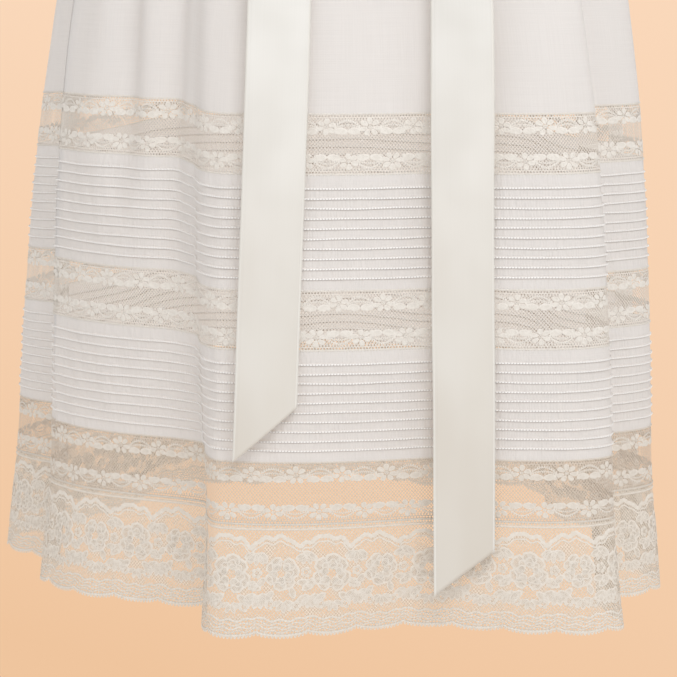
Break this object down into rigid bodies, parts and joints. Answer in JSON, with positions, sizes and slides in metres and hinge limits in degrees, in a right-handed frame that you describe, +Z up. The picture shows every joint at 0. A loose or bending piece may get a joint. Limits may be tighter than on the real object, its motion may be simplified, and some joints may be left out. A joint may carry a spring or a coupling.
{
  "type": "christening gown",
  "caption": "Long white baby gown with a small bodice, short sleeves and a full skirt of tucked cloth, lace bands and a scalloped lace hem, tied with a ribbon sash.",
  "frame": {"origin": "middle of the shoulder line, where the gown is held up by the shoulders", "axes": "+Z up out of the neck, the front faces -Y, +X to the wearer's left"},
  "size_m": [0.4613, 0.4528, 0.8024],
  "materials": {
    "batiste": "soft matte woven cotton",
    "lace": "matte cotton lace on an open net",
    "ribbon": "satin ribbon with a soft sheen",
    "button": "pearly gloss"
  },
  "bodies": {
    "root": {"bodice_front": "batiste", "bodice_back_left": "batiste", "bodice_back_right": "batiste", "neck_binding": "batiste", "sleeve_left": "batiste", "cuff_left": "batiste", "sleeve_right": "batiste", "cuff_right": "batiste", "back_placket": "batiste", "button_1": "button", "button_2": "button", "button_3": "button", "skirt_top_front": "batiste", "lace_band_upper_front": "lace", "tuck_panel_upper_front": "batiste", "lace_band_middle_front": "lace", "tuck_panel_lower_front": "batiste", "lace_band_lower_front": "lace", "lace_edging_front": "lace", "skirt_top_back": "batiste", "lace_band_upper_back": "lace", "tuck_panel_upper_back": "batiste", "lace_band_middle_back": "lace", "tuck_panel_lower_back": "batiste", "lace_band_lower_back": "lace", "lace_edging_back": "lace", "sash": "ribbon", "bow_knot": "ribbon", "bow_loop_left": "ribbon", "bow_loop_right": "ribbon", "ribbon_tail_right": "ribbon", "ribbon_tail_left": "ribbon"}
  },
  "joints": []
}
